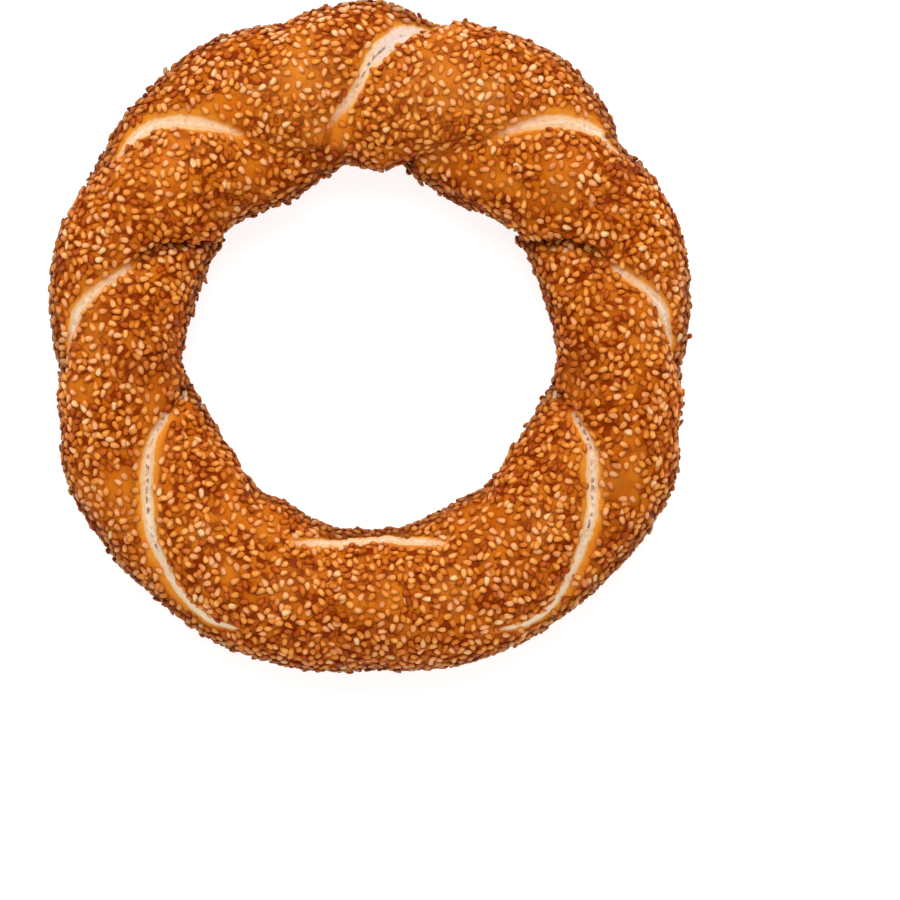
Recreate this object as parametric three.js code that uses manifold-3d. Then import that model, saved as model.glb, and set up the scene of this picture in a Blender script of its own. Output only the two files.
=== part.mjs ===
// Simit: a baked bread ring of two dough ropes twisted round each other, dipped in
// grape molasses and rolled in sesame. The ropes have fused, so the ring is one solid.
//
// Frame: millimetres, +Z up. The ring lies flat on Z = 0 and the origin is under the
// middle of its box. +Y points to the join at 12 o'clock. The ropes twist one way down
// the left half and the other way down the right half, so that the halves mirror each
// other about X = 0. Only the join, where one rope end crosses the other, is one-sided.
//
// Two angles place a point on the ring. The clock angle is in degrees from 12 o'clock,
// positive towards -X. The section angle goes round the bread's own cross-section:
// 0 at the outer edge, 90 on top, 180 at the edge of the hole and 270 underneath.
import * as THREE from "three";
import { MeshSurfaceSampler } from "three/addons/math/MeshSurfaceSampler.js";
import { mergeVertices } from "three/addons/utils/BufferGeometryUtils.js";
import Module from "manifold-3d";

// ---- The ring as a whole ----
const MIDLINE_HEIGHT = 12.7; // of the section's centre above the table
const CROWN = 16.2; // from that centre up to the top of a rope
const BELLY = 16.4; // down to where the underside would be if the table didn't stop it
const FLAT_BLEND = 0.6; // how softly the flattened underside turns up off the table

// ---- Slow changes round one half: [clock angle, mm] ----
const MIDLINE_RADIUS = [
  [0, 62.4], [20, 61.4], [30, 61.9], [60, 62.3], [95, 61.4], [115, 62.5], [130, 62], [150, 62.9], [180, 63.1],
];
const HALF_WIDTH = [
  [0, 20], [30, 21.9], [47, 19.8], [60, 19.9], [75, 18.3], [87, 16.8], [100, 18.7], [115, 19.1],
  [130, 20.3], [150, 20], [165, 18.9], [180, 18.1],
];

// ---- The seams between the two ropes ----
// Each seam is followed through points: [clock angle, section angle, depth of its crease in
// mm, half the width in mm to which it opened in the oven]. Both halves have the same two,
// and each winds on past the outer edge (0), under the bread and up out of the hole (-180).
const FIRST_SEAM = [
  [14.5, 142, 1.7, 0], [21, 128, 1.6, 0.3], [25, 119, 1.5, 0.6], [29.8, 106, 1.4, 1.1],
  [34.9, 84.9, 1.3, 1.7], [39.7, 63.4, 1.2, 2.4], [45.2, 42, 1.1, 2.3], [50.9, 28, 1, 1.2],
  [55, 17, 0.9, 0.5], [62, 0, 0.9, 0], [82, -92, 1.5, 0], [100.5, -180, 2.8, 0],
  [103.8, -190, 2.4, 0.6], [106.6, -212, 1.8, 1], [110.3, -232, 1.5, 1.3], [115, -255.3, 1.2, 1.7],
  [121, -273, 1.1, 2.1], [127, -289.5, 1, 2.1], [132, -302, 1, 2], [137, -312.4, 1, 1.6],
  [142, -324.3, 0.9, 1.4], [147, -332.5, 0.7, 1.2], [152, -326, 0.4, 0.8], [157, -318, 0.2, 0.3],
  [168, -316, 0.1, 0], [180, -315, 0.05, 0],
];
const SECOND_SEAM = [
  [36, 268, 1.5, 0], [55.5, 182, 3, 0], [57.7, 172, 3, 0], [59.4, 160, 3, 0], [61.5, 138, 2.9, 0],
  [65.3, 117.5, 2.5, 0], [68.6, 105.5, 2, 0.1], [71, 99.5, 1.7, 0.3], [72.6, 95, 1.6, 0.4],
  [75.2, 85, 1.4, 0.9], [78.1, 71, 1.3, 1.3], [80.7, 58.8, 1.2, 1.6], [83.8, 47.3, 1.1, 1.8],
  [87, 38.3, 1.1, 1.5], [90.2, 30.5, 1.1, 1], [92.6, 22, 1.1, 0.5], [98, 0, 1.1, 0],
  [115, -92, 1.5, 0], [131, -172, 1.4, 0], [144, -205, 0.6, 0], [152, -224, 0.5, 0.1],
  [160, -227, 0.6, 0.4], [163.5, -220, 0.7, 0.6], [168, -211, 0.8, 0.7], [172, -204, 0.9, 0.8],
  [176.6, -198.5, 0.9, 0.8], [180, -197, 0.9, 0.8],
];
// At the join one seam crosses the top, from the right half's second to the left half's
// first, and the other crosses underneath, from the right half's first to the left's second.
const OVER_JOIN = [
  [-13, -8, 2.4, 0.8], [-9.9, 9.8, 2.2, 2.2], [-7.2, 25, 2, 3], [-4.8, 41, 1.8, 3.8],
  [-2.7, 55, 1.7, 3.3], [-0.3, 67.5, 1.6, 2.9], [1.4, 80, 1.5, 2.7], [3.2, 92.5, 1.5, 2.4],
  [5.1, 104, 1.5, 2], [7.4, 115, 1.5, 1.4], [10, 126, 1.6, 0.8],
];
const UNDER_JOIN = [[-7, 178, 2.5, 0], [4, 225, 1.5, 0], [13, 262, 1.5, 0], [22, 272, 1.5, 0]];
const CREASE_REACH = 2.4; // mm to each side of the bottom of a crease before it is mostly gone

// ---- How round the ropes are ----
const ROPE_ROUNDING = 0.16; // how far a rope's side falls away towards a seam, as a share of the section
const ROUNDING_POWER = 0.8;
const ROUNDED_DEPTH = 1.2; // mm: a seam shallower than this has closed up, and the ropes fall away less

// ---- Hand-made unevenness: [waves round the ring, waves round the section, phase, mm] ----
const UNEVENNESS = [[5, 1, 0.4, 0.2], [9, -2, 1.9, 0.16], [14, 3, 4.1, 0.12], [3, 2, 2.6, 0.12]];

// ---- Sesame ----
const SEED_LENGTH = 3.3;
const SEED_WIDTH = 2.1;
const SEED_THICKNESS = 1.3;
const SEED_BLUNTNESS = 0.35; // how far off the middle the widest part is, as a share of half the length
const SEED_SIDES = 6;
const SEED_COUNT = 214;
const SEED_TRIES = 40; // places tried for each seed, of which the one with most room is kept
const SEED_STANDS_OUT = 0.3; // of the seed's middle above the crust
const SEED_SEAM_GAP = 2.2; // bare dough to each side of a seam that opened
const SEED_LOWEST = 2.5; // none lie lower, where the bread meets the table

// ---- How finely the faces follow the shape ----
const RING_STEPS = 96;
const JOIN_CROWDING = 0.35; // how much closer together they come by the join, from 0 to 1
const ROPE_STEPS = 14; // across each rope, from seam to seam
const SEAM_CROWDING = 0.6; // how much closer together they come by the seams, from 0 to 1

const RADIANS = Math.PI / 180;

// A smooth curve through the given points, which never overshoots them.
function curveThrough(points) {
  const rise = points.slice(1).map(([x, y], i) => (y - points[i][1]) / (x - points[i][0]));
  const slopeAt = (i) => {
    const [before, after] = [rise[i - 1], rise[i]];
    if (before === undefined || after === undefined || before * after <= 0) return 0;
    return (2 * before * after) / (before + after);
  };
  return (x) => {
    const next = points.findIndex(([px]) => px > x);
    const i = (next < 0 ? points.length - 1 : Math.max(next, 1)) - 1;
    const [[x0, y0], [x1, y1]] = [points[i], points[i + 1]];
    const span = x1 - x0;
    const t = THREE.MathUtils.clamp((x - x0) / span, 0, 1);
    const [m0, m1] = [slopeAt(i) * span, slopeAt(i + 1) * span];
    const [t2, t3] = [t * t, t * t * t];
    return (2 * t3 - 3 * t2 + 1) * y0 + (t3 - 2 * t2 + t) * m0 + (3 * t2 - 2 * t3) * y1 + (t3 - t2) * m1;
  };
}

const midlineRadius = curveThrough(MIDLINE_RADIUS);
const halfWidth = curveThrough(HALF_WIDTH);

// A seam that is followed through its points gives its section angle, depth and opening.
function seamThrough(points) {
  const curveOf = (column) => curveThrough(points.map((point) => [point[0], point[column]]));
  const [section, depth, open] = [1, 2, 3].map(curveOf);
  return (clock) => ({ at: section(clock), depth: depth(clock), open: open(clock) });
}

const onTheRight = (points) => points.map(([clock, ...rest]) => [-clock, ...rest]).reverse();
const aTurnOn = (points) => points.map(([clock, section, ...rest]) => [clock, section + 360, ...rest]);
const seams = [
  seamThrough([...onTheRight(FIRST_SEAM), ...UNDER_JOIN, ...SECOND_SEAM]),
  seamThrough([...onTheRight(SECOND_SEAM), ...aTurnOn([...OVER_JOIN, ...FIRST_SEAM])]),
];

// How deep a seam's crease still is at this distance from its middle.
function crease({ depth, open }, distance) {
  return depth * Math.exp(-Math.max(distance - open, 0) / CREASE_REACH);
}

// The table stops the underside: nothing is below 0, and what comes near it levels out.
function restOnTable(z) {
  if (z <= -FLAT_BLEND) return 0;
  return z < FLAT_BLEND ? (z + FLAT_BLEND) ** 2 / (4 * FLAT_BLEND) : z;
}

function unevenness(clock, section) {
  const waves = UNEVENNESS.map(
    ([ring, round, phase, height]) => height * Math.sin((ring * clock + round * section) * RADIANS + phase),
  );
  return waves.reduce((sum, wave) => sum + wave);
}

// The crust at a clock angle, at a share of the way across one of the two ropes: the point
// itself, and how far it is from dough that an opened seam has left bare.
function crustAt(clock, rope, share) {
  const [first, second] = seams.map((seam) => seam(clock));
  const [from, to] = rope === 0 ? [first, second] : [second, { ...first, at: first.at + 360 }];
  const section = from.at + share * (to.at - from.at);
  const width = halfWidth(Math.abs(clock));
  const round = (width + CROWN) / 2;
  const [pastFrom, beforeTo] = [section - from.at, to.at - section].map((gap) => gap * RADIANS * round);
  const [fromRounding, toRounding] = [from, to].map(({ depth }) => Math.min(depth / ROUNDED_DEPTH, 1));
  const rounding = ROPE_ROUNDING * THREE.MathUtils.lerp(fromRounding, toRounding, share);
  const fallAway = rounding * (1 - Math.sin(Math.PI * share) ** ROUNDING_POWER);
  const relief = unevenness(clock, section) - crease(from, pastFrom) - crease(to, beforeTo);
  const size = 1 - fallAway + relief / round;
  const [across, up] = [Math.cos(section * RADIANS), Math.sin(section * RADIANS)];
  const radius = midlineRadius(Math.abs(clock)) + width * across * size;
  const height = restOnTable(MIDLINE_HEIGHT + (up > 0 ? CROWN : BELLY) * up * size);
  const bareFrom = from.open > 0 ? pastFrom - from.open : Infinity;
  const bareTo = to.open > 0 ? beforeTo - to.open : Infinity;
  return {
    point: [-radius * Math.sin(clock * RADIANS), radius * Math.cos(clock * RADIANS), height],
    fromBare: Math.min(bareFrom, bareTo),
  };
}

// The steps round the ring are closer together by the join, where the seams turn most.
function clockOfStep(step) {
  const even = (360 * step) / RING_STEPS - 180;
  return even - (JOIN_CROWDING * Math.sin(even * RADIANS)) / RADIANS;
}

// A rope's steps are closer together by its seams, where it curves most.
function shareOfStep(step) {
  const even = step / ROPE_STEPS;
  const crowded = (1 - Math.cos(Math.PI * even)) / 2;
  return even + SEAM_CROWDING * (crowded - even);
}

// The bread without its seeds. Its rows of faces follow the ropes, so that the seams are
// edges of the mesh. The ropes change places once round the ring, and so do their rows.
// Each corner says whether seeds lie round it.
function breadGeometry() {
  const columns = 2 * ROPE_STEPS;
  const positions = [];
  const seeded = [];
  for (let i = 0; i < RING_STEPS; i++) {
    const clock = clockOfStep(i);
    for (let j = 0; j < columns; j++) {
      const { point, fromBare } = crustAt(clock, Math.floor(j / ROPE_STEPS), shareOfStep(j % ROPE_STEPS));
      positions.push(...point);
      seeded.push(fromBare > SEED_SEAM_GAP ? 1 : 0);
    }
  }
  const corner = (i, j) => {
    const row = i === RING_STEPS ? j + ROPE_STEPS : j;
    return (i % RING_STEPS) * columns + (row % columns);
  };
  const point = (k) => new THREE.Vector3().fromArray(positions, 3 * k);
  const distance = (a, b) => point(a).distanceTo(point(b));
  const faces = [];
  for (let i = 0; i < RING_STEPS; i++) {
    for (let j = 0; j < columns; j++) {
      const [a, b, c, d] = [corner(i, j), corner(i + 1, j), corner(i + 1, j + 1), corner(i, j + 1)];
      faces.push(...(distance(a, c) < distance(b, d) ? [a, b, c, a, c, d] : [a, b, d, b, c, d]));
    }
  }
  const geometry = new THREE.BufferGeometry();
  geometry.setAttribute("position", new THREE.Float32BufferAttribute(positions, 3));
  geometry.setAttribute("seeded", new THREE.Float32BufferAttribute(seeded, 1));
  geometry.setIndex(faces);
  geometry.computeVertexNormals();
  return geometry;
}

// A sesame seed: a flat drop, lying in its own XY plane with the point towards +Y.
function seedGeometry() {
  const ball = new THREE.SphereGeometry(1, SEED_SIDES, 2);
  ball.deleteAttribute("normal");
  ball.deleteAttribute("uv");
  const drop = mergeVertices(ball);
  const position = drop.getAttribute("position");
  for (let i = 0; i < position.count; i++) {
    const y = position.getY(i);
    position.setY(i, y - SEED_BLUNTNESS * (1 - y * y));
  }
  return drop.scale(SEED_WIDTH / 2, SEED_LENGTH / 2, SEED_THICKNESS / 2);
}

// A repeatable stream of numbers from 0 to 1.
function seededRandom(seed) {
  let state = seed;
  return () => {
    state = (state + 0x6d2b79f5) | 0;
    let mixed = Math.imul(state ^ (state >>> 15), 1 | state);
    mixed = (mixed + Math.imul(mixed ^ (mixed >>> 7), 61 | mixed)) ^ mixed;
    return ((mixed ^ (mixed >>> 14)) >>> 0) / 2 ** 32;
  };
}

// Where the seeds lie: evenly apart on all the crust that takes them, each turned its own way.
function seedPlaces(bread) {
  const random = seededRandom(1907);
  const sampler = new MeshSurfaceSampler(new THREE.Mesh(bread)).setWeightAttribute("seeded");
  sampler.setRandomGenerator(random).build();
  const draw = () => {
    const place = { centre: new THREE.Vector3(), outward: new THREE.Vector3() };
    do sampler.sample(place.centre, place.outward);
    while (place.centre.z < SEED_LOWEST);
    return place;
  };
  const places = [];
  const room = ({ centre }) => Math.min(Infinity, ...places.map((other) => other.centre.distanceTo(centre)));
  for (let n = 0; n < SEED_COUNT; n++) {
    const tries = Array.from({ length: SEED_TRIES }, draw);
    const rooms = tries.map(room);
    places.push(tries[rooms.indexOf(Math.max(...rooms))]);
  }
  const up = new THREE.Vector3(0, 0, 1);
  const full = new THREE.Vector3(1, 1, 1);
  return places.map(({ centre, outward }) => {
    const lie = new THREE.Quaternion().setFromUnitVectors(up, outward);
    const turn = new THREE.Quaternion().setFromAxisAngle(up, 2 * Math.PI * random());
    centre.addScaledVector(outward, SEED_STANDS_OUT);
    return new THREE.Matrix4().compose(centre, lie.multiply(turn), full);
  });
}

const wasm = await Module();
wasm.setup();

function solidFrom(geometry) {
  return new wasm.Manifold(
    new wasm.Mesh({
      numProp: 3,
      vertProperties: new Float32Array(geometry.getAttribute("position").array),
      triVerts: new Uint32Array(geometry.index.array),
    }),
  );
}

function geometryFrom(solid) {
  const mesh = solid.getMesh();
  const geometry = new THREE.BufferGeometry();
  geometry.setAttribute("position", new THREE.BufferAttribute(mesh.vertProperties, 3));
  geometry.setIndex(new THREE.BufferAttribute(mesh.triVerts, 1));
  return geometry;
}

// The bread with its seeds fused on, moved so that the origin is under the middle of its box.
function simitGeometry() {
  const bread = breadGeometry();
  const seed = seedGeometry();
  const seeds = seedPlaces(bread).map((place) => solidFrom(seed.clone().applyMatrix4(place)));
  const geometry = geometryFrom(wasm.Manifold.union([solidFrom(bread), ...seeds]));
  geometry.computeBoundingBox();
  const { min, max } = geometry.boundingBox;
  return geometry.translate(-(min.x + max.x) / 2, -(min.y + max.y) / 2, -min.z);
}

const crust = new THREE.MeshStandardMaterial({ color: "#b8682a", roughness: 0.55, metalness: 0 });
const simit = new THREE.Mesh(simitGeometry(), crust);
simit.name = "simit";

const group = new THREE.Group();
group.add(simit);
export default group;
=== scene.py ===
import math

import bpy
import numpy as np
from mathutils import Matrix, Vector, noise


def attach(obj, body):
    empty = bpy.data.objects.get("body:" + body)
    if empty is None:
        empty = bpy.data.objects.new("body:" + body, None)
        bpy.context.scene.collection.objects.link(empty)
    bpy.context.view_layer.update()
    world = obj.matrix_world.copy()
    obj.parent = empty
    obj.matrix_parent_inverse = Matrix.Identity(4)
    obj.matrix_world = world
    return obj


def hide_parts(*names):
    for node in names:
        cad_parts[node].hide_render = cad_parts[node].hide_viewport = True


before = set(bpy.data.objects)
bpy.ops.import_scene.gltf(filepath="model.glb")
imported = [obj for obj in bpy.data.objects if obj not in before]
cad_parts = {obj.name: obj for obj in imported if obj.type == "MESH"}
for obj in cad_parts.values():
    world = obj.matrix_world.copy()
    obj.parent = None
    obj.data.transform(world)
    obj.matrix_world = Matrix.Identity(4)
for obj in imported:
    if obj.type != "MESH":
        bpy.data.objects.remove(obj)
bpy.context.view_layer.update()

# A simit: two dough ropes twisted round each other into a ring, glazed and covered in sesame.
#
# Two angles place a point on the ring. The clock angle is in degrees from 12 o'clock,
# positive towards -X. The section angle goes round the bread's own cross-section: 0 at the
# outer edge, 90 on top, 180 at the edge of the hole and 270 underneath. Lengths are in mm
# until the meshes are made. The floor, the lights and the camera are in metres.
MM = 0.001
RING_CENTRE = (0.15, -0.6)

# ---- The ring as a whole ----
MIDLINE_HEIGHT = 12.7
CROWN = 16.2  # from the midline up to the top
BELLY = 16.4  # and down to where the underside would be, were it not flat
UNDERSIDE = 0.45  # the crust's own height on the flat, with seeds pressed in under it
FLAT_BLEND = 0.6  # over how much height the sides turn into the flat underside
MIDLINE_RADIUS = [  # clock, radius
    [0, 62.4], [20, 61.4], [30, 61.9], [60, 62.3], [95, 61.4], [115, 62.5], [130, 62],
    [150, 62.9], [180, 63.1],
]
HALF_WIDTH = [  # clock, half the width of the bread
    [0, 20], [30, 21.9], [47, 19.8], [60, 19.9], [75, 18.3], [87, 16.8], [100, 18.7],
    [115, 19.1], [130, 20.3], [150, 20], [165, 18.9], [180, 18.1],
]
UNEVENNESS = [  # waves along the ring, turns round the section, phase, height
    [5, 1, 0.4, 0.2], [9, -2, 1.9, 0.16], [14, 3, 4.1, 0.12], [3, 2, 2.6, 0.12],
]
DENTS_ON_BOTH_SIDES = [  # clock, spread, how far the outer edge and the hole's edge move outwards
    [50, 2.5, 0, 0.4], [56.5, 2.5, 0, -1.6], [84, 3, 0.5, 0], [95, 3, -1.4, 1.3],
    [106, 4.5, -1.6, 0.3], [124, 3.5, 0, 0.8], [143, 4, 0.2, 0.9], [175, 3, 0, -0.8],
]
DENTS = [
    [-54, 4.5, -2.6, 0], [-50.5, 2.5, -1.6, 0], [47, 4.5, 1.4, 0], [-50, 3, 0, -0.8],
    [-10.5, 2, -0.5, 0], [-16, 3.5, 1.3, 0], [-22.5, 3.5, 0.7, 0.5], [-1, 7, 1.5, 0],
    [-4, 3, 0, -1.4], [8, 3.7, 0, 2.1], [15.5, 4, -1.5, 0.5], [65, 3.5, -0.5, 0.7],
    [-64, 3, -0.6, 0], [-136, 4, 0, -0.5], [132, 4, 0.9, -0.5], [159, 7, 0, 0.7],
    [180, 2.5, -0.9, -0.8], [-156, 13, 0, 0.8], [-102, 4, 0.5, 0], [-180, 2.5, -0.9, -0.8],
    [75, 3, 0, 0.4], [117, 4, 0, 0.45], [148, 5, 0, 0.5], [106, 3, 0.35, 0], [136, 3, 0.35, 0],
]

# ---- The seams between the ropes: [clock, section, depth, half the width it opened to] ----
FIRST_SEAM = [
    [14.5, 148, 1.7, 0], [21, 135, 1.6, 0], [24.5, 126, 1.5, 0.1], [28.3, 114.5, 1.4, 0.1],
    [31, 103, 1.4, 0.4], [32.8, 94.7, 1.3, 1.1], [34.9, 84.9, 1.3, 1.7], [39.7, 63.4, 1.2, 2.4],
    [45.2, 41, 1.1, 2.3], [48, 36, 1.1, 2.1], [50.9, 33, 1, 1.8], [53, 31, 1, 1.3],
    [55, 26, 1, 0.5], [58.5, 12, 0.9, 0], [62, 0, 0.9, 0], [82, -92, 1.5, 0],
    [99.6, -177, 2.8, 0], [103.5, -189.5, 2.1, 0], [108.2, -220.5, 1.4, 0],
    [109.4, -227.3, 1.4, 0.7], [111.2, -236.5, 1.5, 1.4], [115, -255.3, 1.2, 1.5],
    [121, -273, 1.1, 1.7], [127, -289.5, 1, 1.65], [132, -302, 1, 1.45], [137, -312.4, 1, 1.3],
    [142, -324, 0.9, 1.4], [147, -331.5, 0.7, 1.55], [150, -330, 0.5, 1.15],
    [153, -322.5, 0.3, 0.65], [155.5, -319, 0.25, 0.4], [158, -317, 0.2, 0],
    [168, -315, 0.1, 0], [180, -315, 0.05, 0],
]
SECOND_SEAM = [
    [36, 268, 1.5, 0], [54.5, 182, 2.6, 0], [57.2, 172, 2.9, 0], [59.4, 160, 3, 0],
    [61.5, 138, 2.9, 0], [65.3, 117.5, 2.6, 0], [68.6, 105.5, 2.4, 0.1], [71, 99.5, 2.1, 0.3],
    [72.6, 95, 1.8, 0.5], [75.2, 85, 1.4, 1], [78.1, 71, 1.3, 1.3], [80.7, 58.8, 1.2, 1.6],
    [83.8, 47.3, 1.1, 1.8], [87, 38.3, 1.1, 1.5], [90.2, 30.5, 1.1, 1], [92.6, 22, 1.1, 0.5],
    [98, 0, 1.1, 0], [115, -92, 1.5, 0], [131, -172, 1.4, 0], [144, -205, 0.6, 0],
    [152, -224, 0.5, 0.1], [157.5, -226, 0.6, 0.5], [160, -227, 0.6, 0.8],
    [163.5, -220, 0.7, 1.5], [168, -211, 0.8, 2.2], [172, -204, 0.9, 2.7],
    [176.6, -198.5, 0.9, 2.8], [180, -197, 0.9, 2.8],
]
OVER_JOIN = [
    [-13, 0, 2.4, 2.8], [-11.4, 9, 2.2, 3.5], [-9.9, 15, 2, 4.1], [-7.2, 26, 2, 4.4],
    [-4.8, 41, 1.8, 4.2], [-2.7, 55, 1.7, 3.5], [-0.3, 67.5, 1.6, 2.9], [1.4, 80, 1.5, 2.7],
    [3.2, 93.5, 1.5, 2.4], [5.1, 103, 1.5, 2], [7.4, 112, 1.5, 1.4], [10, 124, 1.6, 0.8],
]
UNDER_JOIN = [
    [-10.6, 176, 2.2, 0], [-2, 218, 1.5, 0], [10, 258, 1.5, 0], [22, 272, 1.5, 0],
]
# The right half is the left one mirrored, but its seams run a little nearer the outer edge.
SEAMS_LEAN_ON_THE_RIGHT = [  # clock, degrees of section
    [0, 0], [36, 0], [39, -1.5], [42, 0.5], [44.5, 1], [46.5, -1.5], [48.5, -4.5], [50.5, -7],
    [53, -9], [56, -9], [60, -4], [66, -2], [84, -2.5], [100, 0], [180, 0],
]
FLAT_LEAN = 18  # leaning this many degrees outwards would leave a seam no depth

# ---- What a seam looks like close up ----
# [clock, undercut, bare crust before it, bare crust after it, how pale, ledge]
# An undercut runs in under the rope before the seam where it is negative. A ledge is how far
# the rope after the seam lies lower, past the bare dough.
FIRST_TRIM = [
    [14.5, 0, 0, 0, 0.1, 0], [21, 0, 0.1, 0.1, 0.05, 0], [26, 0, 0.1, 0.1, 0.1, 0],
    [29.8, 0, 0.2, 0.2, 0.15, 0], [32, 0, 0.8, 0.5, 0.4, 0], [34.9, 0, 1.6, 0.6, 0.6, 0],
    [37.2, 0, 1.6, 0.5, 0.7, 0], [42, 0, 1.4, 0.5, 0.8, 0], [48, 0, 1.3, 0.5, 0.95, 0],
    [50.9, 0, 1, 0.6, 0.95, 0], [53, 0, 0.7, 0.5, 0.95, 0], [55, 0, 0.4, 0.4, 0.7, 0],
    [58.5, 0, 0, 0, 0, 0], [103, 0, 0, 0, 0, 0], [108.2, 0, 0, 0, 0.2, 0],
    [109.6, 0, 0.5, 0.6, 0.8, 0], [111.5, 0, 0.9, 1.4, 0.85, 0], [118, 0, 0.9, 1.7, 0.85, 0],
    [126, 0, 1.1, 1.6, 0.92, 0], [132, 0, 1.7, 1, 0.95, 0], [139, 0, 2.3, 0.6, 0.95, 0],
    [144, 0, 1.8, 0.5, 0.95, 0], [148, 0, 0.5, 0.5, 0.95, 0], [153, 0, 0.4, 0.4, 0.9, 0],
    [155.5, 0, 0.2, 0.2, 0.6, 0], [158, 0, 0, 0, 0, 0], [180, 0, 0, 0, 0, 0],
]
SECOND_TRIM = [
    [36, 0, 0, 0, 0, 0], [56.5, -1.4, 0, 0, 0, 0.8], [64, -1.7, 0, 0, 0, 0.8],
    [69, -1.3, 0.2, 0, 0, 0.7], [71, -1, 0.2, 0, 0.3, 0.5], [72.6, -0.7, 0.6, 0.2, 0.5, 0.3],
    [75.2, -0.2, 1, 0.3, 0.7, 0.1], [78, 0, 1, 0.4, 0.65, 0], [82, 0, 0.6, 0.4, 0.9, 0],
    [87, 0, 0.6, 0.5, 0.95, 0], [90.2, 0, 0.5, 0.4, 0.75, 0], [93, 0, 0.3, 0.3, 0.4, 0],
    [97, 0, 0, 0, 0, 0], [150, 0, 0, 0, 0, 0], [156.5, 0, 0.1, 0.1, 0, 0],
    [158.5, 0, 0.3, 0.3, 0.3, 0.2], [161, 0, 0.8, 0.4, 0.6, 0.3], [166, 0, 1.5, 0.5, 0.85, 0.5],
    [172, 0, 1.9, 0.5, 0.85, 0.7], [180, 0, 1.9, 0.5, 0.9, 0.7],
]
OVER_JOIN_TRIM = [
    [-13, 0, 0.3, 1.3, 1, 0], [-9.9, 0, 0.3, 1.1, 1, 0], [-7.2, 0, 0.5, 0.7, 1, 0],
    [-4.8, 0, 0.6, 0.7, 1, 0], [1.4, 0, 0.8, 0.7, 0.95, 0], [3.2, 0, 0.8, 0.8, 0.85, 0],
    [5.1, 0, 0.7, 0.8, 0.75, 0], [7.4, 0, 0.6, 0.7, 0.6, 0], [10, 0, 0.5, 0.6, 0.4, 0],
    [12, 0, 0.4, 0.5, 0.2, 0],
]
UNDER_JOIN_TRIM = [
    [-10.6, 0, 0, 0, 0, 0], [22, 0, 0, 0, 0, 0],
]
PITTED = [  # clock, how pitted torn dough is
    [0, 0.8], [10, 0.8], [20, 0.5], [104, 0.5], [109, 1], [132, 1], [137, 0.4], [180, 0.5],
]
PAINTED_LIGHT_AND_GREY = [  # clock, how much paler torn dough is painted, as painted light on shaded slopes; greyer below 0
    [0, 0], [30, 0], [36, -0.12], [50, -0.12], [56, 0], [110, 0], [114, -0.2], [122, -0.3],
    [128, 0], [136, 0.5], [142, 0.85], [154, 1], [157, 0], [180, 0],
]

# ---- How a seam shapes the crust beside it ----
CREASE_REACH = 2.4
ROPE_ROUNDING = 0.16  # how much thinner a rope is at its seams, as a share
ROUNDING_POWER = 0.8
ROUNDED_DEPTH = 1.2  # seams this deep round their ropes in full
EDGE_WANDER = 0.22  # how much the edges of an opening wander, as a share of its width
EDGE_WAVES = [[0.62, 0.9, 0.45], [1.66, 2.3, 0.3], [3.8, 4.4, 0.25]]  # rate, phase, share
EDGE_SHIFT = 1.3  # of phase, from one edge to the next, so that they don't wander alike
OPEN_FROM = 0.5  # half the width from which an opening is torn and pale in full
LEAST_OPENING = 0.05  # narrower ones, with their bare crust, count as closed
TORN_EDGE = 0.22  # how far the bare dough lies below the torn edge of the crust
TORN_STEP = (-0.15, 0.45)  # from inside the edge to outside it
BULGE = 0.35  # how far bare dough has risen again in the middle of an opening
BULGES_FROM = 1.5  # half the width from which it has risen in full
LEDGE_WIDTH = 1.2
LEDGE_REACH = 4.0
UNDERCUT_REACH = 1.1

# ---- What the crust looks like beside a seam ----
PALE_STEP = (-0.2, 0.5)  # from inside the edge to outside it
PITS_REACH = 0.6
GLOW_OPENING = (0.3, 0.8)  # half widths between which the golden edge of an opening appears
GLOW_SHARE = 0.5  # how much of the bare crust it covers before it fades
GLOW_REACH = 1.1
GLOW_THINNING = 0.12  # how much fainter it is for each mm of bare crust
LIGHT_FROM = 0.8  # half the width from which an opening has no painted shade at all
SHADED_DEPTH = (1.5, 2.4)  # depths between which a closed seam gets painted shade
SHADE_REACH = 1.3
CREVICE_REACH = 0.8  # of the painted shade below a ledge
LIT_FLANK = 0.8  # how much of the painted shade a golden edge takes away
BARE_STEP = 0.7  # over how many mm bare crust turns into coated crust
# The sides are painted darker between these heights, as shares of the crown and the belly:
# painted shade where they turn steeply from the light, and this much less of it underneath.
RIM_ABOVE = (0.1, 0.52)
RIM_BELOW = (0, 0.7)
RIM_UNDERNEATH = 0.4

# ---- The crust's own surface ----
COAT = 0.45  # how far the crust lies below the seeds' common surface
LUMPS = [[7, 0, 0.22], [2.4, 7.7, 0.1], [1.3, 11.1, 0.05]]  # size, shift of the noise, height
SMOOTH_DOUGH = 0.4  # how much less lumpy bare dough is
LOWEST_CRUST = 0.3

# ---- Where the coat of seeds is thin and the glaze shows: [x, y, radius, how bare] ----
BARE_ON_BOTH_SIDES = [
    [-47, 36, 7, 0.5], [-50, 42, 5, 0.55], [-18, 64, 6, 0.5], [-61.5, -35.5, 4.5, 0.95],
    [-24, -42, 6, 0.5], [-52, -14, 5, 0.35], [-36, 53, 6, 0.45], [-8, -64, 5, 0.2],
    [-66, 6, 5, 0.35], [-28, 40, 6, 0.5], [-34, -56, 5, 0.4],
]
BARE_ON_ONE_SIDE = [
    [-9, 50, 5, 0.85], [-71, -12, 3.5, 0.7],
]
BLOTCH_SIZE = 9
BLOTCH_OFFSET = 3.3
BLOTCHES_IN_PATCHES = 0.8
BLOTCHES_ELSEWHERE = 0.3
BLOTCH_STEP = (0.1, 0.5)
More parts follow.
